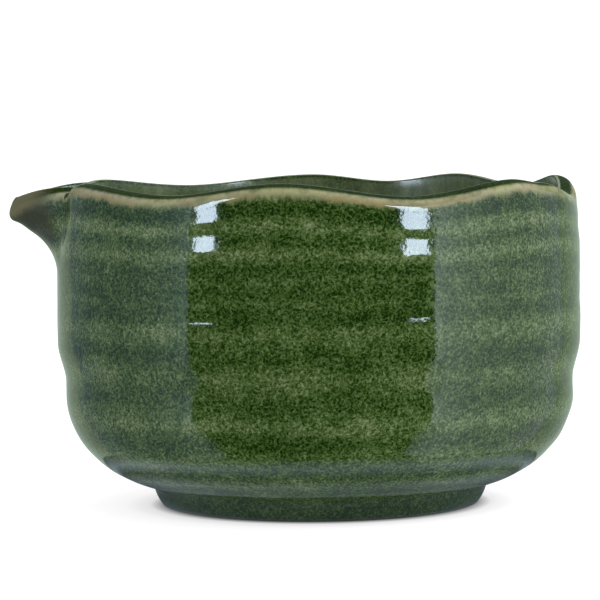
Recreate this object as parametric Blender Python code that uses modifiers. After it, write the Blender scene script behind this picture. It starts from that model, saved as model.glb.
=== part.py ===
"""Spouted matcha bowl (katakuchi chawan): thrown stoneware, lobed rim, foot ring and a green glaze coat.

Metres, +Z up. One finished surface is turned about the bowl's own axis and hand-formed (lobed rim, pinched
spout). The glaze is a coat laid inwards from that surface, and the clay is the same surface set back further,
so clay and glaze keep their spacing everywhere. The spout points along -X. The origin is the middle of the
bounding box, on the table.
"""

import math

import bmesh
import bpy

MM = 0.001

# --- driving dimensions -------------------------------------------------------------------------
BODY_RADIUS = 60.0 * MM        # finished outside radius at the widest turn of the wall
RIM_HEIGHT = 74.7 * MM         # table to the crest of a rim lobe
RIM_CLOSING = 0.2 * MM         # the wall draws in this much on its way up to the lip
WALL = 4.6 * MM                # finished wall thickness, glaze included
FLOOR_THICKNESS = 6.2 * MM     # finished floor inside the bowl above the crease under the belly

WAIST_STEP = 1.8 * MM          # the belly curve starts this far inside the widest turn
WAIST_HEIGHT = 26.0 * MM
BELLY_TURN = 76.0              # degrees that the belly curve turns through before it meets the foot
SHOULDER_LOW = 29.0 * MM       # the wall steps out between these heights
SHOULDER_HIGH = 38.0 * MM

FOOT_HEIGHT = 4.8 * MM         # table to the crease under the belly
FOOT_TOP_RADIUS = 38.5 * MM    # finished outside radius at the crease
FOOT_UNDERCUT = 2.3 * MM       # the foot draws in this much on its way down to the table
FOOT_ROUNDING = math.radians(30.0)  # its side turns through this angle
FOOT_EDGE_BARE = 0.3 * MM      # the glaze stops this far above the table
TREAD_WIDTH = 5.0 * MM         # the foot ring's width on the table, bare edges included
FOOT_CHAMFER = 0.6 * MM        # broken inner edge of the tread
RECESS_SKIRT_END = 1.5 * MM    # the recess glaze stops this far above the table

LIP_SHOULDER = 3.2 * MM        # height of the rounded outer shoulder of the lip
LIP_CREST = 0.54               # the crest lies this share of the wall in from its outside
INNER_CORNER_WIDTH = 30.0 * MM  # half axes of the curve between inner wall and floor
INNER_CORNER_HEIGHT = 22.0 * MM

GLAZE = 0.6 * MM               # thickness of the fired glaze
JOINT_GAP = 0.3 * MM           # clearance between pieces that touch on the real bowl

# Rim lobes: direction round the axis in degrees (0 = +X, opposite the spout) and drop below the crest.
RIM_DROPS = (
    (-180.0, 1.4 * MM), (-170.0, 1.6 * MM), (-156.0, 0.1 * MM), (-125.0, 2.5 * MM), (-98.5, 0.0),
    (-69.0, 3.1 * MM), (-41.0, 0.0), (-30.0, 0.9 * MM), (-10.0, 3.5 * MM), (8.0, 0.0), (30.0, 2.6 * MM),
    (52.0, 0.0), (71.0, 1.8 * MM), (91.0, 0.0), (123.0, 2.1 * MM), (156.0, 0.1 * MM), (165.0, 0.5 * MM),
    (172.0, 1.8 * MM), (180.0, 1.4 * MM),
)
# How far the rim leans in, mostly where it dips: direction in degrees and lean at the rim.
RIM_LEANS = (
    (-180.0, 0.35 * MM), (-150.0, 0.2 * MM), (-125.0, 0.75 * MM), (-98.0, 0.45 * MM), (-69.0, 0.85 * MM),
    (-41.0, 0.2 * MM), (-10.0, 0.35 * MM), (8.0, 0.1 * MM), (30.0, 0.5 * MM), (60.0, 0.1 * MM),
    (123.0, 0.5 * MM), (156.0, 0.0), (180.0, 0.35 * MM),
)
LOBE_REACH = 30.7 * MM         # lobes and lean die out this far below the rim

SPOUT_REACH = 21.2 * MM        # the wall starts to bend out into the spout this far below the rim
SPOUT_TURN = 11.8 * MM         # height of wall over which it bends; above that the spout runs straight
SPOUT_BEND = math.radians(50.6)  # bend reached there
SPOUT_STRETCH = 1.19           # the clay is drawn outwards this much as it is bent
SPOUT_RISE = 1.04              # and upwards this much
SPOUT_LIP = 1.2 * MM           # the spout's lip is this much fuller on its underside
SPOUT_LIP_HEIGHT = 5.0 * MM    # over this height of wall
SPOUT_FLAT = math.radians(4.0)   # half angle that is bent fully
SPOUT_EDGE = math.radians(15.0)  # half angle where the bend has died out
SPOUT_TAPER = 0.30             # the channel narrows by this share at its tip
PINCH_DEPTH = 1.3 * MM         # finger groove on each side of the spout
PINCH_ANGLE = math.radians(14.5)
PINCH_WIDTH = math.radians(3.6)
SPOUT_PIECE_MARGIN = 2.6 * MM  # the clay spout is let in this far past the bend, at its sides
SPOUT_PIECE_BELOW = 3.0 * MM   # and below it

TURN_STEPS = 56                # segments round the axis
CROWDING_SPOUT = 0.2           # draws the segments towards the spout
CROWDING_NOTCH = 0.2           # and towards the dip opposite it
MERGE = 1e-6
LEAST_CURVATURE = 1e-3         # per metre; keeps the bend's formula away from a division by nothing
NEAR_WALL = (0.7, 0.9)         # hand forming fades in between these shares of the wall's radius

# --- sizes that follow ----------------------------------------------------------------------------
RIM_RADIUS = BODY_RADIUS - RIM_CLOSING
WAIST_RADIUS = BODY_RADIUS - WAIST_STEP
FLOOR_HEIGHT = FOOT_HEIGHT + FLOOR_THICKNESS
LIP_CREST_RADIUS = RIM_RADIUS - LIP_CREST * WALL
LOBE_START = RIM_HEIGHT - LOBE_REACH
SPOUT_START = RIM_HEIGHT - SPOUT_REACH
FOOT_BASE_RADIUS = FOOT_TOP_RADIUS - FOOT_UNDERCUT
FOOT_INNER_RADIUS = FOOT_BASE_RADIUS - GLAZE - JOINT_GAP - TREAD_WIDTH

CLAY_COLOUR = (0.33, 0.23, 0.155, 1.0)
GLAZE_COLOUR = (0.045, 0.085, 0.022, 1.0)


# --- sections -------------------------------------------------------------------------------------
def smooth(value):
    """0 below 0, 1 above 1, eased in between."""
    t = min(1.0, max(0.0, value))
    return t * t * (3.0 - 2.0 * t)


def wall_radius(z):
    """Finished outside radius of the wall above the belly curve."""
    step = smooth((z - SHOULDER_LOW) / (SHOULDER_HIGH - SHOULDER_LOW))
    radius = WAIST_RADIUS + (BODY_RADIUS - WAIST_RADIUS) * step
    closing = smooth((z - SHOULDER_HIGH) / (RIM_HEIGHT - SHOULDER_HIGH))
    return radius - (BODY_RADIUS - RIM_RADIUS) * closing


def ellipse_arc(centre, half_width, half_height, start, end, count):
    """Points of an ellipse between two angles in degrees, both ends included."""
    points = []
    for i in range(count):
        angle = math.radians(start + (end - start) * i / (count - 1))
        points.append((centre[0] + half_width * math.cos(angle), centre[1] + half_height * math.sin(angle)))
    return points


def spout_heights():
    """Heights of the wall's section points from the start of the spout up to the lip."""
    top = RIM_HEIGHT - LIP_SHOULDER
    return [SPOUT_START + (top - SPOUT_START) * i / 3 for i in (0, 1, 2)]


def inside_section():
    """Finished surface from the middle of the floor to the crest of the lip."""
    wall = RIM_RADIUS - WALL
    corner = (wall - INNER_CORNER_WIDTH, FLOOR_HEIGHT + INNER_CORNER_HEIGHT)
    curve = ellipse_arc(corner, INNER_CORNER_WIDTH, INNER_CORNER_HEIGHT, -90.0, 0.0, 6)
    edge = LIP_CREST_RADIUS - wall
    lip = ellipse_arc((LIP_CREST_RADIUS, RIM_HEIGHT - edge), edge, edge, 180.0, 90.0, 3)
    return [(0.0, FLOOR_HEIGHT)] + curve + [(wall, z) for z in spout_heights()] + lip


def outside_section():
    """Finished surface from just past the crest of the lip down to the crease above the foot."""
    lip_bottom = RIM_HEIGHT - LIP_SHOULDER
    centre = (LIP_CREST_RADIUS, lip_bottom)
    lip = ellipse_arc(centre, wall_radius(lip_bottom) - LIP_CREST_RADIUS, LIP_SHOULDER, 90.0, 0.0, 4)[1:]
    wall = [(wall_radius(z), z) for z in spout_heights()[::-1] + [SHOULDER_HIGH, SHOULDER_LOW]]
    turn = math.radians(BELLY_TURN)
    half_width = (WAIST_RADIUS - FOOT_TOP_RADIUS) / (1.0 - math.cos(turn))
    half_height = (WAIST_HEIGHT - FOOT_HEIGHT) / math.sin(turn)
    centre = (WAIST_RADIUS - half_width, WAIST_HEIGHT)
    belly = ellipse_arc(centre, half_width, half_height, 0.0, -BELLY_TURN, 6)
    return lip + wall + belly


def foot_section(depth):
    """Side of the foot at a depth under its finished surface, from the crease to where the glaze stops."""
    lean = math.atan2(FOOT_UNDERCUT, FOOT_HEIGHT)
    start = lean - 0.5 * FOOT_ROUNDING
    radius = 0.5 * math.hypot(FOOT_UNDERCUT, FOOT_HEIGHT) / math.sin(0.5 * FOOT_ROUNDING)
    centre = (FOOT_TOP_RADIUS - radius * math.cos(start), FOOT_HEIGHT + radius * math.sin(start))
    end = math.asin((centre[1] - FOOT_EDGE_BARE) / radius)
    return ellipse_arc(centre, radius - depth, radius - depth, -math.degrees(start), -math.degrees(end), 4)


# --- hand forming -----------------------------------------------------------------------------------
def eased(stations, azimuth):
    """Value at an azimuth in radians, eased from one (degrees, value) station to the next."""
    degrees = math.degrees(azimuth)
    for (a, value_a), (b, value_b) in zip(stations[:-1], stations[1:]):
        if a <= degrees <= b:
            return value_a + (value_b - value_a) * smooth((degrees - a) / (b - a))
    return stations[-1][1]


def form(x, y, z):
    """Moves a point of the turned bowl to where the potter's fingers leave it."""
    radius = math.hypot(x, y)
    azimuth = math.atan2(y, x)
    azimuth += CROWDING_SPOUT * math.sin(azimuth) - CROWDING_NOTCH * math.sin(2.0 * azimuth)
    middle = RIM_RADIUS - 0.5 * WALL

    near_wall = smooth((radius / middle - NEAR_WALL[0]) / (NEAR_WALL[1] - NEAR_WALL[0]))
    off_spout = math.pi - abs(azimuth)
    share = near_wall * (1.0 - smooth((off_spout - SPOUT_FLAT) / (SPOUT_EDGE - SPOUT_FLAT)))
    outer = min(1.0, max(0.0, (radius - middle) / (0.5 * WALL)))
    radius += SPOUT_LIP * share * outer * smooth((z - RIM_HEIGHT) / SPOUT_LIP_HEIGHT + 1.0)

    ramp = near_wall * max(0.0, (z - LOBE_START) / LOBE_REACH) ** 1.5
    z -= eased(RIM_DROPS, azimuth) * ramp
    radius -= eased(RIM_LEANS, azimuth) * ramp

    pinch = math.exp(-(((off_spout - PINCH_ANGLE) / PINCH_WIDTH) ** 2))
    radius -= PINCH_DEPTH * pinch * near_wall * smooth((z - SPOUT_START) / SPOUT_REACH)

    run = z - SPOUT_START
    squeeze = 1.0
    if share > 0.0 and run > 0.0:
        curvature = max(share * SPOUT_BEND / SPOUT_TURN, LEAST_CURVATURE)
        bend = curvature * min(run, SPOUT_TURN)
        straight = max(0.0, run - SPOUT_TURN)
        out = (1.0 - math.cos(bend)) / curvature + straight * math.sin(bend)
        up = math.sin(bend) / curvature + straight * math.cos(bend)
        across = radius - middle
        radius = middle + (1.0 + (SPOUT_STRETCH - 1.0) * share) * out + across * math.cos(bend)
        z = SPOUT_START + (1.0 + (SPOUT_RISE - 1.0) * share) * up - across * math.sin(bend)
        squeeze = 1.0 - SPOUT_TAPER * share * (1.0 - math.cos(bend)) / (1.0 - math.cos(SPOUT_BEND))
    return radius * math.cos(azimuth), radius * math.sin(azimuth) * squeeze, z


# --- building blocks ----------------------------------------------------------------------------------
def make_material(name, colour, roughness):
    material = bpy.data.materials.new(name)
    material.use_nodes = True
    shader = material.node_tree.nodes["Principled BSDF"]
    shader.inputs["Base Color"].default_value = colour
    shader.inputs["Roughness"].default_value = roughness
    return material


def turned(name, section, closed, inset, material, collection):
    """Turns a section about the axis with a Screw modifier, hand-forms it, then sets it back by inset."""
    mesh = bpy.data.meshes.new(name + "_section")
    edges = [(i, i + 1) for i in range(len(section) - 1)]
    if closed:
        edges.append((len(section) - 1, 0))
    mesh.from_pydata([(x, 0.0, z) for x, z in section], edges, [])
    profile = bpy.data.objects.new(name + "_profile", mesh)
    bpy.context.scene.collection.objects.link(profile)
    screw = profile.modifiers.new("turn", "SCREW")
    screw.axis = "Z"
    screw.angle = 2.0 * math.pi
    screw.steps = TURN_STEPS
    screw.render_steps = TURN_STEPS
    screw.use_merge_vertices = True
    screw.merge_threshold = MERGE
    graph = bpy.context.evaluated_depsgraph_get()
    solid = bpy.data.meshes.new_from_object(profile.evaluated_get(graph))
    bpy.data.objects.remove(profile)
    solid.name = name

    body = bmesh.new()
    body.from_mesh(solid)
    for vertex in body.verts:
        vertex.co = form(*vertex.co)
    bmesh.ops.triangulate(body, faces=body.faces[:])
    body.normal_update()
    if inset > 0.0:
        moves = [(vertex, vertex.normal * inset * vertex.calc_shell_factor()) for vertex in body.verts]
        for vertex, move in moves:
            vertex.co -= move
    body.to_mesh(solid)
    body.free()
    solid.materials.clear()
    solid.materials.append(material)
    piece = bpy.data.objects.new(name, solid)
    collection.objects.link(piece)
    return piece


def make_cutter(name, low, high, collection):
    """A box that only cuts: it is left out of renders and of the model."""
    bpy.ops.mesh.primitive_cube_add(size=1.0, location=[0.5 * (a + b) for a, b in zip(low, high)])
    cutter = bpy.context.object
    cutter.name = name
    cutter.scale = [b - a for a, b in zip(low, high)]
    for other in list(cutter.users_collection):
        other.objects.unlink(cutter)
    collection.objects.link(cutter)
    cutter.hide_render = True
    cutter.display_type = "WIRE"
    return cutter


def cut(piece, cutter, operation):
    modifier = piece.modifiers.new(cutter.name, "BOOLEAN")
    modifier.operation = operation
    modifier.solver = "EXACT"
    modifier.object = cutter


# --- the pieces -----------------------------------------------------------------------------------------
def clay_section():
    """The finished bowl without its foot: inside, lip, outside and a flat underside at the crease."""
    return inside_section() + outside_section() + [(0.0, FOOT_HEIGHT)]


def glaze_section():
    """The finished surface that is glazed: inside, lip, outside and the side of the foot."""
    return inside_section() + outside_section() + foot_section(0.0)[1:]


def clay_foot_section():
    """Closed section of the foot ring, from its outer top edge round its bare tread to the recess."""
    side = foot_section(GLAZE + JOINT_GAP)
    (above_x, above_z), (end_x, end_z) = side[-2:]
    tread_edge = end_x - end_z * (above_x - end_x) / (above_z - end_z)
    top = FOOT_HEIGHT + GLAZE
    return [(side[0][0], top)] + side + [
        (tread_edge, 0.0),
        (FOOT_INNER_RADIUS + FOOT_CHAMFER, 0.0),
        (FOOT_INNER_RADIUS, FOOT_CHAMFER),
        (FOOT_INNER_RADIUS, top),
    ]


def recess_glaze_section():
    """Glaze of the recess under the bowl: a disc with a short skirt down the inside of the foot ring."""
    outer = FOOT_INNER_RADIUS - JOINT_GAP
    top = FOOT_HEIGHT + GLAZE
    return [
        (0.0, top),
        (outer, top),
        (outer, RECESS_SKIRT_END),
        (outer - GLAZE, RECESS_SKIRT_END),
        (outer - GLAZE, top - GLAZE),
        (0.0, top - GLAZE),
    ]


def main():
    for old in list(bpy.data.objects):
        bpy.data.objects.remove(old)
    model = bpy.data.collections.new("matcha_bowl")
    helpers = bpy.data.collections.new("cutters")
    bpy.context.scene.collection.children.link(model)
    bpy.context.scene.collection.children.link(helpers)

    clay = make_material("bare_stoneware", CLAY_COLOUR, 0.85)
    glaze = make_material("green_glaze", GLAZE_COLOUR, 0.12)

    set_back = GLAZE + JOINT_GAP
    bowl = turned("clay_bowl", clay_section(), False, set_back, clay, model)
    spout = turned("clay_spout", clay_section(), False, set_back, clay, model)
    foot = turned("clay_foot_ring", clay_foot_section(), True, 0.0, clay, model)
    coat = turned("glaze_coat", glaze_section(), False, 0.0, glaze, model)
    recess = turned("recess_glaze", recess_glaze_section(), False, 0.0, glaze, model)

    skin = coat.modifiers.new("thickness", "SOLIDIFY")
    skin.thickness = GLAZE
    skin.offset = -1.0
    skin.use_even_offset = True

    reach = 2.0 * BODY_RADIUS
    inner = 0.75 * RIM_RADIUS
    half = BODY_RADIUS * math.sin(SPOUT_EDGE) + SPOUT_PIECE_MARGIN
    bottom = SPOUT_START - SPOUT_PIECE_BELOW
    notch = make_cutter("spout_notch", (-reach, -half, bottom), (-inner, half, reach), helpers)
    half -= JOINT_GAP
    bottom += JOINT_GAP
    keep = make_cutter("spout_limits", (-reach - MM, -half, bottom), (-inner + MM, half, reach + MM), helpers)
    cut(bowl, notch, "DIFFERENCE")
    cut(spout, keep, "INTERSECT")

    corners = [vertex.co for vertex in coat.data.vertices]
    frame = bpy.data.objects.new("bowl_frame", None)
    bpy.context.scene.collection.objects.link(frame)
    for axis in (0, 1):
        low = min(corner[axis] for corner in corners)
        high = max(corner[axis] for corner in corners)
        frame.location[axis] = -0.5 * (low + high)
    for piece in (bowl, spout, foot, coat, recess, notch, keep):
        piece.parent = frame


main()
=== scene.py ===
import math

import bmesh
import bpy
from mathutils import Matrix, Vector, noise


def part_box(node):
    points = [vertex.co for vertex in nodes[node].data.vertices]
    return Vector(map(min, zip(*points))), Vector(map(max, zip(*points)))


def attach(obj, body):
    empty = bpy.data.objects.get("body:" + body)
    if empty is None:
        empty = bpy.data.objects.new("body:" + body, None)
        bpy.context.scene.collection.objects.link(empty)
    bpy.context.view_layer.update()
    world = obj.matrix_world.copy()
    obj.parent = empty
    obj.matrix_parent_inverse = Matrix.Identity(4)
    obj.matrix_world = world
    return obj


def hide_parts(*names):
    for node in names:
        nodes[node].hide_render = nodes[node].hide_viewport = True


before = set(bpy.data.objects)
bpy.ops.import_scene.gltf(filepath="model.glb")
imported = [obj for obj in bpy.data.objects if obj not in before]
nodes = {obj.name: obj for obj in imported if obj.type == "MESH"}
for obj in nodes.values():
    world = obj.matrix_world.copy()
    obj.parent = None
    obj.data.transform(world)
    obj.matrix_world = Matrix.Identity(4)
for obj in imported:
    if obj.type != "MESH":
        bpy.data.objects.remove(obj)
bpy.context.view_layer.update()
mm = 0.001

ringLow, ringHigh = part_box("clay_foot_ring")
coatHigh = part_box("glaze_coat")[1]
# the bowl's own turning axis, off the box's middle because of the spout
axisX = 0.5 * (ringLow.x + ringHigh.x)
bodyRadius = coatHigh.x - axisX
rimHeight = coatHigh.z
print("frame loaded, turning axis at", round(axisX / mm, 2), "mm")


# form of the thrown bowl, shared by the pieces that follow its wall
bowlForm = {
    "wall": 4.6 * mm,             # finished wall
    "closing": 0.2 * mm,          # the wall draws in this much on its way up to the lip
    "floor": 11.0 * mm,           # table to the floor inside
    "waistRadius": bodyRadius - 1.8 * mm,
    "waistHeight": 26.0 * mm,
    "bellyTurn": 76.0,            # degrees turned before the belly meets the foot
    "shoulder": (29.0 * mm, 38.0 * mm),
    "lipDrop": 3.2 * mm,          # height of the lip's sloping face
    "lipInset": 4.0 * mm,         # wall face to the lip's inner corner
    "cornerWide": 30.0 * mm,
    "cornerHigh": 22.0 * mm,
    # rim: direction round the axis in degrees, drop below the crests in mm
    "rim": [(-180, 1.4), (-170, 1.6), (-156, 0.1), (-125, 2.5), (-98.5, 0), (-69, 3.1), (-41, 0), (-30, 0.9),
            (-10, 3.5), (8, 0), (30, 2.6), (52, 0), (71, 1.8), (91, 0), (123, 2.1), (156, 0.1), (165, 0.5),
            (172, 1.8), (180, 1.4)],
    # how far the rim leans in over the lobes' height, in mm
    "lean": [(-180, 0.35), (-150, 0.2), (-125, 0.75), (-98, 0.45), (-69, 0.85), (-41, 0.2), (-10, 0.35),
             (8, 0.1), (30, 0.5), (60, 0.1), (123, 0.5), (156, 0.0), (180, 0.35)],
    "lobeReach": 30.7 * mm,
    # throwing rings: height in mm and how far they stand out in mm, grooves between them at 0
    "rings": [(-2, 0), (4.2, 0), (6.2, 0.06), (7.4, 0), (9.4, 0.09), (12.2, 0), (15.0, 0.12), (18.8, 0),
              (23.2, 0.17), (27.6, 0.01), (33.0, 0.13), (37.7, 0), (42.7, 0.14), (46.6, 0), (49.6, 0.07),
              (51.9, 0.01), (54.6, 0.06), (57.2, 0.01), (60.3, 0.19), (63.2, 0.03), (65.9, 0.17), (69.2, 0),
              (71.5, 0.03), (90, 0)],
    # the wall swells towards the top, then leans back twice below the lip: height and swell in mm
    "ringsEnd": (56.0 * mm, 59.0 * mm),
    "swell": [(43.4, 0), (44.7, 0.05), (46.0, 0), (60.9, 0.34), (64.9, 0.10), (67.3, 0.12), (71.2, -0.12),
              (90, -0.12)],
    "spoutReach": 21.2 * mm,      # the wall bends out into the spout from this far below the rim
    "spoutTurn": 11.8 * mm,       # over this height, then runs straight
    "spoutBend": math.radians(50.6),
    "spoutStretch": 1.19,
    "spoutRise": 1.04,
    "spoutLip": (1.2 * mm, 5.0 * mm),   # fuller lip on the spout: how much, over what height
    "spoutFlat": math.radians(4.0),
    "spoutEdge": math.radians(15.0),
    "spoutTaper": 0.30,
    "pinchDepth": 1.3 * mm,
    "pinchAngle": math.radians(14.5),
    "pinchWide": math.radians(3.6),
    "crowdSpout": 0.2,            # draws the turned points towards the spout
    "crowdNotch": 0.2,            # and towards the dip opposite it
    "nearWall": (0.7, 0.2),       # hand forming starts at this share of the wall's radius, full over this
    "ringShift": 0.9,             # the rings wander up and down by this many mm
    "ringUneven": 0.5,            # share by which a ring swells and shrinks on its way round
    "wobble": 0.15 * mm,          # the whole wall's unevenness
}

footForm = {
    "top": 38.5 * mm,             # radius at the crease
    "height": 4.8 * mm,
    "undercut": 2.3 * mm,
    "rounding": math.radians(30.0),
    "bareEdge": 0.3 * mm,         # glaze stops here above the table
    "treadWidth": 5.0 * mm,
    "glaze": 0.6 * mm,
    "gap": 0.3 * mm,
    "chamfer": 0.6 * mm,
    "skirtEnd": 1.5 * mm,         # recess glaze stops here above the table
    "treadEdge": 0.35 * mm,       # worn round at the tread's outer edge
    "fillet": 1.6 * mm,           # where the recess meets its skirt
    "steps": 240,
}


def ease(value):
    t = min(1.0, max(0.0, value))
    return t * t * (3.0 - 2.0 * t)


def eased(stations, at):
    # value at a place on a list of (place, value) stations, eased from one to the next
    for (a, low), (b, high) in zip(stations[:-1], stations[1:]):
        if a <= at <= b:
            return low + (high - low) * ease((at - a) / (b - a))
    return 0.0


def arc(centre, wide, high, start, end, count):
    turn = [math.radians(start + (end - start) * i / (count - 1)) for i in range(count)]
    return [(centre[0] + wide * math.cos(a), centre[1] + high * math.sin(a)) for a in turn]


def wallRadius(z):
    low, high = bowlForm["shoulder"]
    radius = bowlForm["waistRadius"] + (bodyRadius - bowlForm["waistRadius"]) * ease((z - low) / (high - low))
    return radius - bowlForm["closing"] * ease((z - high) / (rimHeight - high))


def insideLine():
    f = bowlForm
    wall = bodyRadius - f["closing"] - f["wall"]
    bottom = f["floor"] + f["cornerHigh"]
    line = [(t * (wall - f["cornerWide"]), f["floor"]) for t in (0.0, 0.25, 0.5, 0.75)]
    line += arc((wall - f["cornerWide"], bottom), f["cornerWide"], f["cornerHigh"], -90, 0, 20)
    corner = f["wall"] - f["lipInset"]
    top = rimHeight - corner
    count = 21
    line += [(wall, bottom + (top - bottom) * i / count) for i in range(1, count)]
    return line + arc((wall + corner, top), corner, corner, 180, 90, 6)


def outsideLine():
    f = bowlForm
    crest = bodyRadius - f["closing"] - f["lipInset"]
    edge = rimHeight - f["lipDrop"]
    line = arc((crest, edge), wallRadius(edge) - crest, f["lipDrop"], 90, 0, 14)[1:]
    count = 64
    step = (edge - f["waistHeight"]) / count
    line += [(wallRadius(edge - step * i), edge - step * i) for i in range(1, count)]
    turn = math.radians(f["bellyTurn"])
    wide = (f["waistRadius"] - footForm["top"]) / (1.0 - math.cos(turn))
    high = (f["waistHeight"] - footForm["height"]) / math.sin(turn)
    return line + arc((f["waistRadius"] - wide, f["waistHeight"]), wide, high, 0, -f["bellyTurn"], 30)


def footLine(depth, count):
    # side of the foot at a depth under its finished surface, down to where the glaze stops
    f = footForm
    start = math.atan2(f["undercut"], f["height"]) - 0.5 * f["rounding"]
    radius = 0.5 * math.hypot(f["undercut"], f["height"]) / math.sin(0.5 * f["rounding"])
    centre = (f["top"] - radius * math.cos(start), f["height"] + radius * math.sin(start))
    end = math.asin((centre[1] - f["bareEdge"]) / radius)
    return arc(centre, radius - depth, radius - depth, -math.degrees(start), -math.degrees(end), count)


def handForm(x, y, z, outside):
    # moves a point of the turned bowl to where the potter's fingers leave it
    # returns the place, how far it stands out on a throwing ring (mm) and its share in the spout
    f = bowlForm
    radius = math.hypot(x, y)
    azimuth = math.atan2(y, x)
    azimuth += f["crowdSpout"] * math.sin(azimuth) - f["crowdNotch"] * math.sin(2.0 * azimuth)
    degrees = math.degrees(azimuth)
    middle = bodyRadius - f["closing"] - 0.5 * f["wall"]
    begin, over = f["nearWall"]
    nearWall = ease((radius / middle - begin) / over)
    offSpout = math.pi - abs(azimuth)
    share = nearWall * (1.0 - ease((offSpout - f["spoutFlat"]) / (f["spoutEdge"] - f["spoutFlat"])))

    full, over = f["spoutLip"]
    outer = min(1.0, max(0.0, (radius - middle) / (0.5 * f["wall"])))
    radius += full * share * outer * ease((z - rimHeight) / over + 1.0)

    about = Vector((1.3 * math.cos(azimuth), 1.3 * math.sin(azimuth), z * 45.0))
    shift = f["ringShift"] * noise.noise(about)
    uneven = f["ringUneven"] * (1.0 - 0.5 * ease(z / (6.0 * mm) - 6.0))
    ring = eased(f["rings"], z / mm + shift) * (1.0 + uneven * noise.noise(about * 2.1 + Vector((7, 3, 1))))
    low, high = f["ringsEnd"]
    swell = ring * (1.0 - ease((z - low) / (high - low))) + eased(f["swell"], z / mm + shift)
    wobble = f["wobble"] * noise.noise(Vector((math.cos(azimuth), math.sin(azimuth), z * 14.0)) * 1.7)
    if outside:
        radius += swell * (1.0 - 0.8 * share) * mm + wobble
    else:
        radius += (0.5 * ring * mm + wobble) * nearWall * ease((rimHeight - z) / (4.0 * mm))

    ramp = nearWall * max(0.0, (z - rimHeight) / f["lobeReach"] + 1.0) ** 1.5
    z -= eased(f["rim"], degrees) * mm * ramp
    radius -= eased(f["lean"], degrees) * mm * ramp

    start = rimHeight - f["spoutReach"]
    pinch = math.exp(-(((offSpout - f["pinchAngle"]) / f["pinchWide"]) ** 2))
    radius -= f["pinchDepth"] * pinch * nearWall * ease((z - start) / f["spoutReach"])

    run = z - start
    squeeze = 1.0
    if share > 0.0 and run > 0.0:
        curve = max(share * f["spoutBend"] / f["spoutTurn"], 0.001)
        bend = curve * min(run, f["spoutTurn"])
        straight = max(0.0, run - f["spoutTurn"])
        out = (1.0 - math.cos(bend)) / curve + straight * math.sin(bend)
        up = math.sin(bend) / curve + straight * math.cos(bend)
        across = radius - middle
        radius = middle + (1.0 + (f["spoutStretch"] - 1.0) * share) * out + across * math.cos(bend)
        z = start + (1.0 + (f["spoutRise"] - 1.0) * share) * up - across * math.sin(bend)
        squeeze = 1.0 - f["spoutTaper"] * share * (1.0 - math.cos(bend)) / (1.0 - math.cos(f["spoutBend"]))
    place = Vector((radius * math.cos(azimuth), radius * math.sin(azimuth) * squeeze, z))
    return place, ring, share


def turned(line, steps, closed=False):
    # spins a line of points about the upright axis into a sheet, or a closed line into a ring
    work = bmesh.new()
    points = [work.verts.new((x, 0.0, z)) for x, z in line]
    for a, b in zip(points, points[1:] + (points[:1] if closed else [])):
        work.edges.new((a, b))
    bmesh.ops.spin(work, geom=work.verts[:] + work.edges[:], cent=(0, 0, 0), axis=(0, 0, 1), dvec=(0, 0, 0),
                   angle=2.0 * math.pi, steps=steps, use_merge=True)
    bmesh.ops.remove_doubles(work, verts=work.verts[:], dist=1e-6)
    bmesh.ops.recalc_face_normals(work, faces=work.faces[:])
    return work


def finished(work, name, material):
    mesh = bpy.data.meshes.new(name)
    for face in work.faces:
        face.smooth = True
    work.to_mesh(mesh)
    work.free()
    mesh.materials.append(material)
    piece = bpy.data.objects.new(name, mesh)
    bpy.context.scene.collection.objects.link(piece)
    return piece


class Wire:
    # a node's output that can be used in sums
    def __init__(self, owner, socket):
        self.owner = owner
        self.socket = socket

    def math(self, operation, *others):
        return self.owner.node("ShaderNodeMath", {"operation": operation}, dict(enumerate((self,) + others)))

    def __add__(self, other):
        return self.math("ADD", other)

    def __radd__(self, other):
        return self.math("ADD", other)

    def __sub__(self, other):
        return self.math("SUBTRACT", other)

    def __rsub__(self, other):
        return self.owner.node("ShaderNodeMath", {"operation": "SUBTRACT"}, {0: other, 1: self})

    def __mul__(self, other):
        return self.math("MULTIPLY", other)

    def __abs__(self):
        return self.math("ABSOLUTE")

    def between(self, low, high):
        # 0 at low, 1 at high, eased
        return self.owner.node("ShaderNodeMapRange", {"interpolation_type": "SMOOTHSTEP"},
                               {"Value": self, "From Min": low, "From Max": high})

    def near(self, value, inner, outer):
        # 1 close to a value, 0 away from it
        return 1.0 - abs(self - value).between(inner, outer)


class Nodes:
    # a node tree, and the means to add to it
    def __init__(self, tree):
        self.tree = tree

    def node(self, kind, settings=None, inputs=None, output=0):
        made = self.tree.nodes.new(kind)
        for key, value in (settings or {}).items():
            if key == "stops":
                ramp = made.color_ramp
                while len(ramp.elements) < len(value):
                    ramp.elements.new(0.5)
                for element, (position, colour) in zip(ramp.elements, value):
                    element.position = position
                    element.color = colour
            else:
                setattr(made, key, value)
        for key, value in (inputs or {}).items():
            if isinstance(value, Wire):
                self.tree.links.new(value.socket, made.inputs[key])
            else:
                made.inputs[key].default_value = value
        return Wire(self, made.outputs[output])

    def mixed(self, amount, under, over):
        return self.node("ShaderNodeMix", {"data_type": "RGBA"}, {0: amount, 6: under, 7: over}, 2)


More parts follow.
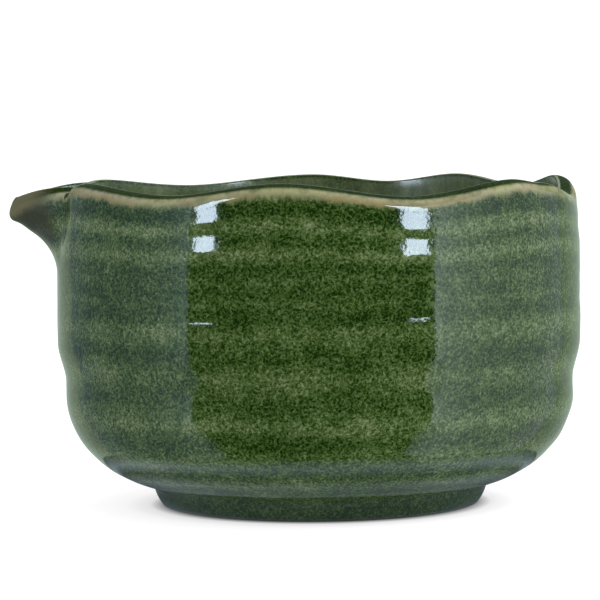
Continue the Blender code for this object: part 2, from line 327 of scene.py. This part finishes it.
class Finish(Nodes):
    # one material round a Principled shader
    def __init__(self, name):
        self.material = bpy.data.materials.new(name)
        self.material.use_nodes = True
        super().__init__(self.material.node_tree)
        self.shader = self.tree.nodes["Principled BSDF"]

    def place(self):
        return self.node("ShaderNodeTexCoord", output="Object")

    def stretched(self, place, x, y, z):
        return self.node("ShaderNodeMapping", {"vector_type": "POINT"}, {"Vector": place, "Scale": (x, y, z)})

    def along(self, place, axis):
        return self.node("ShaderNodeSeparateXYZ", {}, {0: place}, axis)

    def grain(self, place, scale, detail=2.0, rough=0.5, warp=0.0):
        return self.node("ShaderNodeTexNoise", {}, {"Vector": place, "Scale": scale, "Detail": detail,
                                                    "Roughness": rough, "Distortion": warp}, "Fac")

    def attribute(self, name):
        return self.node("ShaderNodeAttribute", {"attribute_name": name}, output="Fac")

    def drive(self, socket, wire):
        self.tree.links.new(wire.socket, self.shader.inputs[socket])

    def plain(self, **values):
        for key, value in values.items():
            self.shader.inputs[key.replace("_", " ")].default_value = value

    def bump(self, height, strength, distance):
        made = self.node("ShaderNodeBump", {}, {"Height": height, "Strength": strength, "Distance": distance})
        self.drive("Normal", made)


def tint(red, green, blue):
    # everyday 0-255 colour to the linear one that sockets take
    return tuple((c / 255.0 / 12.92) if c < 10.3 else ((c / 255.0 + 0.055) / 1.055) ** 2.4
                 for c in (red, green, blue)) + (1.0,)


glazeLook = {
    "pool": tint(16, 36, 5),          # thick glaze in the grooves
    "body": tint(40, 62, 20),
    "broken": tint(72, 90, 50),       # thinner, over the rings
    "milky": tint(112, 124, 92),      # thinnest veil
    "buff": tint(152, 152, 114),      # clay showing through at the lip
    "bloom": tint(157, 153, 128),
    "crest": tint(150, 160, 140),     # thin edge of the lip: thin pale glaze and a painted highlight along the crest
    "nose": tint(104, 100, 64),       # top of the spout's lip
    "rust": tint(140, 120, 62),
    "dark": tint(26, 40, 14),         # run-off just inside and outside the lip
    "foot": tint(24, 42, 28),         # painted shade: darker, bluer colour under the crease, where the belly shades the foot
    "umber": tint(42, 42, 17),        # the spout's browner glaze
    "roughness": 0.07,
    # coarseness of each part of the mottling, in waves per metre
    "clouds": 95.0,
    "patches": 240.0,
    "veins": 900.0,
    "specks": 1700.0,
    "flow": 420.0,
    "wideFlow": 90.0,
    "ripple": 420.0,
    "fine": 1500.0,
    # zones at the lip, in mm outwards from its crest and negative inside: where each comes in or goes out
    "line": -0.15,
    "faceIn": (0.1, 0.5),
    "faceOut": (2.3, 3.1),
    "bandIn": (2.4, 3.5),
    "bandOut": (3.8, 6.2),
    "rustAt": 4.7,
    "poolAt": 7.6,
    "innerOut": (-1.6, -0.6),
    "innerIn": (-26.0, -6.0),
    "dryOut": (-1.2, -0.4),
    "dryIn": (-14.0, -6.0),
    "noseIn": (-1.6, -0.4),
    "noseOut": (3.2, 5.2),
    "footShadeZone": (4.0 * mm, 5.4 * mm),   # heights over which the foot's painted shade fades out
}


def greenGlaze():
    look = glazeLook
    f = Finish("green glaze")
    place = f.place()
    ring = f.attribute("ring")
    fromLip = f.attribute("fromLip")
    spout = f.attribute("spout")

    clouds = f.grain(place, look["clouds"], 3.0, 0.55, 0.3)
    patches = f.grain(f.stretched(place, 1.0, 1.0, 2.2), look["patches"], 2.0, 0.6)
    vein = f.grain(place, look["veins"], 2.0, 0.6, 0.5)
    veins = (1.0 - abs(vein - 0.5) * 11.0).math("MAXIMUM", 0.0)
    specks = f.grain(place, look["specks"], 1.5, 0.6)
    flow = f.grain(f.stretched(place, 1.0, 1.0, 0.10), look["flow"], 3.0, 0.6)
    wideFlow = f.grain(f.stretched(place, 1.0, 1.0, 0.25), look["wideFlow"], 2.0, 0.5)

    # mottling: paler on the rings, darker in the pool under the lip's band
    tone = 0.11 + ring * 0.33 + (clouds - 0.5) * 0.55 + (patches - 0.5) * 0.45
    tone = tone + veins * 0.42 + (specks - 0.5) * 1.25 - fromLip.near(look["poolAt"], 0.5, 2.2) * 0.12
    stops = [(0.0, look["pool"]), (0.30, look["body"]), (0.64, look["broken"]), (1.0, look["milky"])]
    colour = f.node("ShaderNodeValToRGB", {"stops": stops}, {"Fac": tone})

    # browner glaze on the spout; painted shade on the foot, darker and bluer below the crease
    brown = spout.between(0.08, 0.5) * (0.75 + (clouds - 0.5) * 1.2)
    colour = f.mixed(brown, colour, look["umber"])
    low = 1.0 - f.along(place, "Z").between(*look["footShadeZone"])
    colour = f.mixed(low * 0.4, colour, look["foot"])

    # lip: dark sloping face, then a broken band where the glaze has run off the corner, streaked downwards
    ragged = fromLip + (flow - 0.5) * 3.4 + (wideFlow - 0.5) * 1.6
    face = fromLip.between(*look["faceIn"]) * (1.0 - fromLip.between(*look["faceOut"]))
    colour = f.mixed(face * 0.65, colour, look["dark"])
    band = fromLip.between(*look["bandIn"]) * (1.0 - ragged.between(*look["bandOut"]))
    band = band * (0.76 + (flow - 0.5) * 1.6 + (patches - 0.5) * 0.7)
    band = band * (1.0 - spout.between(0.05, 0.45) * 0.85)
    thin = f.mixed(wideFlow.between(0.42, 0.60), look["buff"], look["bloom"])
    colour = f.mixed(band.math("MINIMUM", 0.88), colour, thin)
    rust = ragged.near(look["rustAt"], 0.2, 1.1) * wideFlow.between(0.46, 0.60) * (1.0 - spout)
    colour = f.mixed(rust * 0.35, colour, look["rust"])
    # painted highlight along the lip's inner crest, partly the thin pale glaze there
    line = fromLip.near(look["line"], 0.12, 0.48)
    colour = f.mixed(line * 0.85, colour, look["crest"])
    nose = fromLip.between(*look["noseIn"]) * (1.0 - ragged.between(*look["noseOut"]))
    nose = nose * spout.between(0.25, 0.75)
    colour = f.mixed(nose * 0.65, colour, look["nose"])

    # inside the rim the glaze is greyer and streaked
    inner = (1.0 - fromLip.between(*look["innerOut"])) * fromLip.between(*look["innerIn"])
    streak = 0.42 + (flow - 0.5) * 1.0 + (wideFlow - 0.5) * 0.8
    colour = f.mixed(inner * streak.math("MAXIMUM", 0.0), colour, look["milky"])
    f.drive("Base Color", colour)

    # and a little less glossy
    f.plain(IOR=1.52)
    dry = (1.0 - fromLip.between(*look["dryOut"])) * fromLip.between(*look["dryIn"])
    f.drive("Roughness", look["roughness"] + dry * 0.14)
    ripple = f.grain(place, look["ripple"], 2.0, 0.5)
    fine = f.grain(place, look["fine"], 1.0, 0.5)
    f.bump(ripple * 0.8 + fine * 0.2, 0.10, 0.0004)
    return f.material


clayLook = {
    "deep": tint(92, 70, 50),
    "body": tint(138, 110, 82),
    "pale": tint(176, 150, 120),
    # coloured like the glaze below these x: in the spout's groove the clay comes through the skin by 0.08 mm
    "glazeTint": (-50.0 * mm, -40.0 * mm),
}


def bareClay():
    look = clayLook
    f = Finish("bare stoneware")
    place = f.place()
    grit = f.grain(place, 900.0, 3.0, 0.65)
    wash = f.grain(place, 130.0, 2.0, 0.5)
    tone = 0.2 + wash * 0.4 + (grit - 0.5) * 0.8
    stops = [(0.0, look["deep"]), (0.5, look["body"]), (1.0, look["pale"])]
    colour = f.node("ShaderNodeValToRGB", {"stops": stops}, {"Fac": tone})
    colour = f.mixed(1.0 - f.along(place, "X").between(*look["glazeTint"]), colour, glazeLook["umber"])
    f.drive("Base Color", colour)
    f.plain(Roughness=0.8)
    f.bump(grit, 0.35, 0.0003)
    return f.material


glaze = greenGlaze()
clay = bareClay()
print("finishes mixed")


# glaze coat: one skin over inside, lip, spout, outside and foot
coatDetail = {
    "steps": 300,
    "thickness": 0.6 * mm,
    "outsideFrom": 3.5,           # past this many mm from the crest the wall is formed as outside
    "fullRing": 0.18,             # a ring this proud, in mm, is fully pale
    "spoutGlaze": (17.0 * mm, 8.0 * mm),   # browner glaze: its start below the rim, over what height
}


def glazeCoat():
    inside = insideLine()
    line = inside + outsideLine() + footLine(0.0, 7)[1:]
    crest = len(inside) - 1
    along = [0.0]
    for (ax, az), (bx, bz) in zip(line[:-1], line[1:]):
        along.append(along[-1] + math.hypot(bx - ax, bz - az))
    fromCrest = {}
    for (x, z), run in zip(line, along):
        fromCrest[(round(x, 5), round(z, 5))] = (run - along[crest]) / mm

    work = turned(line, coatDetail["steps"])
    ringLayer = work.verts.layers.float.new("ring")
    lipLayer = work.verts.layers.float.new("fromLip")
    spoutLayer = work.verts.layers.float.new("spout")
    below, over = coatDetail["spoutGlaze"]
    for vert in work.verts:
        radius = math.hypot(vert.co.x, vert.co.y)
        distance = fromCrest.get((round(radius, 5), round(vert.co.z, 5)))
        if distance is None:
            distance = min((abs(radius - x) + abs(vert.co.z - z), d) for (x, z), d in fromCrest.items())[1]
        place, ring, share = handForm(*vert.co, distance > coatDetail["outsideFrom"])
        vert[ringLayer] = min(1.0, ring / coatDetail["fullRing"])
        vert[lipLayer] = distance
        vert[spoutLayer] = share * ease((vert.co.z - rimHeight + below) / over)
        vert.co = place + Vector((axisX, 0.0, 0.0))
    piece = finished(work, "glazeCoat", glaze)
    skin = piece.modifiers.new("coat thickness", "SOLIDIFY")
    skin.thickness = coatDetail["thickness"]
    skin.offset = -1.0
    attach(piece, "root")
    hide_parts("glaze_coat")


# foot ring: bare tread below, its side under the glaze coat
def footRing():
    f = footForm
    side = footLine(f["glaze"] + f["gap"], 10)
    (aboveX, aboveZ), (endX, endZ) = side[-2:]
    treadEdge = endX - endZ * (aboveX - endX) / (aboveZ - endZ)
    inner = f["top"] - f["undercut"] - f["glaze"] - f["gap"] - f["treadWidth"]
    top = f["height"] + f["glaze"]
    rounded = f["treadEdge"]
    line = [(side[0][0], top)] + side
    line += [(treadEdge + 0.1 * mm, rounded), (treadEdge - rounded, 0.0)]
    line += arc((inner + f["chamfer"], f["chamfer"]), f["chamfer"], f["chamfer"], -90, -180, 6)
    line += [(inner, top)]
    work = turned(line, f["steps"], closed=True)
    bmesh.ops.translate(work, verts=work.verts[:], vec=(axisX, 0.0, 0.0))
    piece = finished(work, "footRing", clay)
    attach(piece, "root")
    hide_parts("clay_foot_ring")


# glaze of the recess under the bowl, with a rounded skirt down the inside of the foot ring
def recessGlaze():
    f = footForm
    outer = f["top"] - f["undercut"] - f["glaze"] - 2.0 * f["gap"] - f["treadWidth"]
    top = f["height"] + f["glaze"]
    fillet = f["fillet"]
    half = 0.5 * f["glaze"]
    line = [(0.0, top), (outer, top)]
    line += arc((outer - half, f["skirtEnd"] + half), half, half, 0, -180, 7)
    line += arc((outer - f["glaze"] - fillet, f["height"] - fillet), fillet, fillet, 0, 90, 8)
    line += [(share * outer, f["height"]) for share in (0.75, 0.5, 0.25, 0.0)]
    work = turned(line, f["steps"])
    for layer, value in (("ring", 0.0), ("fromLip", 60.0), ("spout", 0.0)):
        made = work.verts.layers.float.new(layer)
        for vert in work.verts:
            vert[made] = value
    bmesh.ops.translate(work, verts=work.verts[:], vec=(axisX, 0.0, 0.0))
    piece = finished(work, "recessGlaze", glaze)
    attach(piece, "root")
    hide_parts("recess_glaze")


glazeCoat()
print("glaze coat formed")
footRing()
recessGlaze()
print("foot formed")

for name in ("clay_bowl", "clay_spout"):
    mesh = nodes[name].data
    mesh.materials.clear()
    mesh.materials.append(clay)
print("clay pieces finished")


black = (0.0, 0.0, 0.0, 1.0)
white = (1.0, 1.0, 1.0, 1.0)
windowPale = (0.70, 0.83, 1.0, 1.0)

studio = {
    "floorPale": 0.38,
    # the floor's own glow keeps the shade round the foot narrow: radius in mm and share of it
    "floor": [(0, 0), (34.5, 0), (36.5, 0.28), (39.5, 0.86), (45, 1.0), (62, 1.03), (100, 1.0), (300, 1.0),
              (3000, 1.0)],
    "floorGlow": 0.80,
    # painted reflection of the table: a glowing disc under the bowl that only its underside reflects, dim
    # near the foot for the table's painted shade; radius in mm and share of its full glow
    "mat": [(0, 0.25), (40, 0.25), (44, 0.46), (50, 0.20), (54.5, 1.0), (57.5, 0.62), (61.0, 0.28)],
    "tableReflectionColour": (0.85, 1.0, 1.22, 1.0),
    "tableReflectionAside": 0.4,          # share of its glow that is left away from the camera's usual side
    # softboxes: name, azimuth, foot and head, width, colour, strength
    "cardDistance": 1.0,
    "windows": [
        ("windowLeft", -50.6, 0.135, 0.78, 0.157, windowPale, 18.5),
        ("windowRight", 41.8, 0.135, 0.78, 0.155, windowPale, 18.5),
    ],
    # and the fading ones: also the colour of the rear and how fast they fade
    "panels": [
        ("panelLeft", -96.5, -1.7, 1.2, 1.62, (0.50, 0.67, 0.86, 1.0), 2.0, (0.11, 0.135, 0.19, 1.0), 4),
        ("panelRight", 89.3, -1.7, 1.2, 1.69, (1.18, 1.38, 1.50, 1.0), 2.0, (0.24, 0.26, 0.33, 1.0), 3),
    ],
    "edgeShare": 0.3,         # part of a fading card's glow that stays close to its front edge
    "edgeFading": 24,
    "softBelow": 0.7,         # its front edge is soft from this far below the table
    "softWidth": 0.25,        # over this share of its width
    "keySize": 0.9,
    "keyEnergy": 5.0,
    "keyPlace": (80.0, 1.2, 0.6),
    "keyAim": 0.045,
    "tent": 1.22,
    "tentSide": 0.42,         # brighter by this much on the right, darker by it on the left
    "airFront": 0.01,         # what the glaze reflects in front
    "airBehind": 0.50,        # and behind
    "airUp": 0.85,            # share of it that is lost overhead
    "airColour": (0.95, 1.16, 1.0, 1.0),
}


def glowing(work, name, dim, bright, strength, glow, pale=black):
    # sheet that shines from dim to bright with the glow of each place on it
    layer = work.verts.layers.float.new("glow")
    for vert in work.verts:
        vert[layer] = glow(vert.co)
    f = Finish(name + " glow")
    f.plain(Base_Color=pale, Specular_IOR_Level=0.0, Emission_Strength=strength)
    f.drive("Emission Color", f.mixed(f.attribute("glow"), dim, bright))
    return finished(work, name, f.material)


def onlyReflected(card):
    card.visible_camera = card.visible_diffuse = card.visible_shadow = False


def discOf(stations, height):
    # flat round sheet about the bowl's axis, and the share of its glow at a place
    work = turned([(radius * mm, height) for radius, share in stations], 96)
    bmesh.ops.translate(work, verts=work.verts[:], vec=(axisX, 0.0, 0.0))
    end = stations[-1][0]
    return work, lambda co: eased(stations, min(math.hypot(co.x - axisX, co.y) / mm, end))


def around(azimuth, distance, height):
    # a place seen from the bowl at an azimuth counted from the camera, positive to the right
    a = math.radians(azimuth)
    return Vector((axisX + distance * math.sin(a), -distance * math.cos(a), height))


def addCard(name, azimuth, low, high, width, bright, strength, dim=black, fading=0):
    # upright softbox facing the bowl; a fading one dims from its front edge to its rear one
    # and has a soft front edge low down
    work = bmesh.new()
    bmesh.ops.create_grid(work, x_segments=24, y_segments=8, size=0.5)
    bmesh.ops.scale(work, verts=work.verts[:], vec=(width, high - low, 1.0))
    place = around(azimuth, studio["cardDistance"], 0.5 * (low + high))
    facing = (Vector((axisX, 0.0, place.z)) - place).to_track_quat("Z", "Y").to_matrix().to_4x4()
    bmesh.ops.transform(work, verts=work.verts[:], matrix=Matrix.Translation(place) @ facing)
    front = min(vert.co.y for vert in work.verts)
    deep = max(vert.co.y for vert in work.verts) - front

    def glow(co):
        if not fading:
            return 1.0
        back = (co.y - front) / deep
        soft = ease(-co.z / studio["softBelow"]) * (1.0 - ease(back / studio["softWidth"]))
        edge = studio["edgeShare"]
        bright = (1.0 - edge) * (1.0 - back) ** fading + edge * (1.0 - back) ** studio["edgeFading"]
        return bright * (1.0 - soft)

    onlyReflected(glowing(work, name, dim, bright, strength, glow))


def addFloor():
    work, glow = discOf(studio["floor"], 0.0)
    pale = (studio["floorPale"],) * 3 + (1.0,)
    floor = glowing(work, "floor", black, white, studio["floorGlow"], glow, pale)
    floor.visible_glossy = False
    # painted reflection of the table, seen only in the glaze, with painted shade near the foot
    work, glow = discOf(studio["mat"], 0.2 * mm)
    ahead = around(0.0, 1.0, 0.0).normalized()
    aside = studio["tableReflectionAside"]

    def towardsCamera(co):
        return glow(co) * (aside + (1.0 - aside) * ease(1.3 * ahead.dot(co.normalized())))

    onlyReflected(glowing(work, "mat", black, studio["tableReflectionColour"], 1.0, towardsCamera))


def lightStudio():
    # two tall windows near the camera and two broad panels at the sides, then the key light
    for card in studio["windows"] + studio["panels"]:
        addCard(*card)

    lamp = bpy.data.lights.new("key", "AREA")
    lamp.shape = "RECTANGLE"
    lamp.size = lamp.size_y = studio["keySize"]
    lamp.energy = studio["keyEnergy"]
    holder = bpy.data.objects.new("key", lamp)
    bpy.context.scene.collection.objects.link(holder)
    place = around(*studio["keyPlace"])
    aim = Vector((axisX, 0.0, studio["keyAim"])) - place
    holder.matrix_world = Matrix.Translation(place) @ aim.to_track_quat("-Z", "Y").to_matrix().to_4x4()
    holder.visible_camera = holder.visible_glossy = False

    # an open white tent for the camera and the shading; reflections see dark air in front, paler air behind
    world = bpy.data.worlds.new("studio air")
    bpy.context.scene.world = world
    world.use_nodes = True
    air = Nodes(world.node_tree)
    direction = air.node("ShaderNodeTexCoord", output="Generated")
    sideways = air.node("ShaderNodeSeparateXYZ", {}, {0: direction}, "X")
    forwards = air.node("ShaderNodeSeparateXYZ", {}, {0: direction}, "Y")
    upwards = air.node("ShaderNodeSeparateXYZ", {}, {0: direction}, "Z")
    seen = air.node("ShaderNodeLightPath", output="Is Camera Ray")
    mirrored = air.node("ShaderNodeLightPath", output="Is Glossy Ray")
    shading = studio["tent"] + sideways * studio["tentSide"] * (1.0 - seen)
    behind = air.node("ShaderNodeMapRange", {}, {"Value": forwards, "From Min": -0.2, "From Max": 1.0,
                                                 "To Min": studio["airFront"], "To Max": studio["airBehind"]})
    behind = behind * (1.0 - upwards.between(0.0, 0.22) * studio["airUp"])
    strength = shading * (1.0 - mirrored) + behind * mirrored
    colour = air.mixed(mirrored, white, studio["airColour"])
    air.tree.links.new(colour.socket, air.tree.nodes["Background"].inputs["Color"])
    air.tree.links.new(strength.socket, air.tree.nodes["Background"].inputs["Strength"])


viewpoint = {
    "lens": 178.5,
    "sensor": 36.0,
    "clip": (0.05, 20.0),
    "pitch": math.radians(3.42),
    "roll": math.radians(0.7),
    "aside": -4.25 * mm,          # from the bowl's axis
    "back": 0.684,
    "height": 0.0876,
}


def addCamera():
    # long lens, a little above the rim, tipped slightly down and turned a hair
    view = viewpoint
    lens = bpy.data.cameras.new("camera")
    lens.lens = view["lens"]
    lens.sensor_width = view["sensor"]
    lens.clip_start, lens.clip_end = view["clip"]
    camera = bpy.data.objects.new("camera", lens)
    bpy.context.scene.collection.objects.link(camera)
    camera.rotation_mode = "XYZ"
    place = Vector((axisX + view["aside"], -view["back"], view["height"]))
    tilt = Matrix.Rotation(math.radians(90.0) - view["pitch"], 4, "X")
    look = tilt @ Matrix.Rotation(-view["roll"], 4, "Z")
    camera.matrix_world = Matrix.Translation(place) @ look
    bpy.context.scene.camera = camera


addFloor()
lightStudio()
addCamera()
bpy.context.scene.view_settings.view_transform = "Standard"
print("studio set")
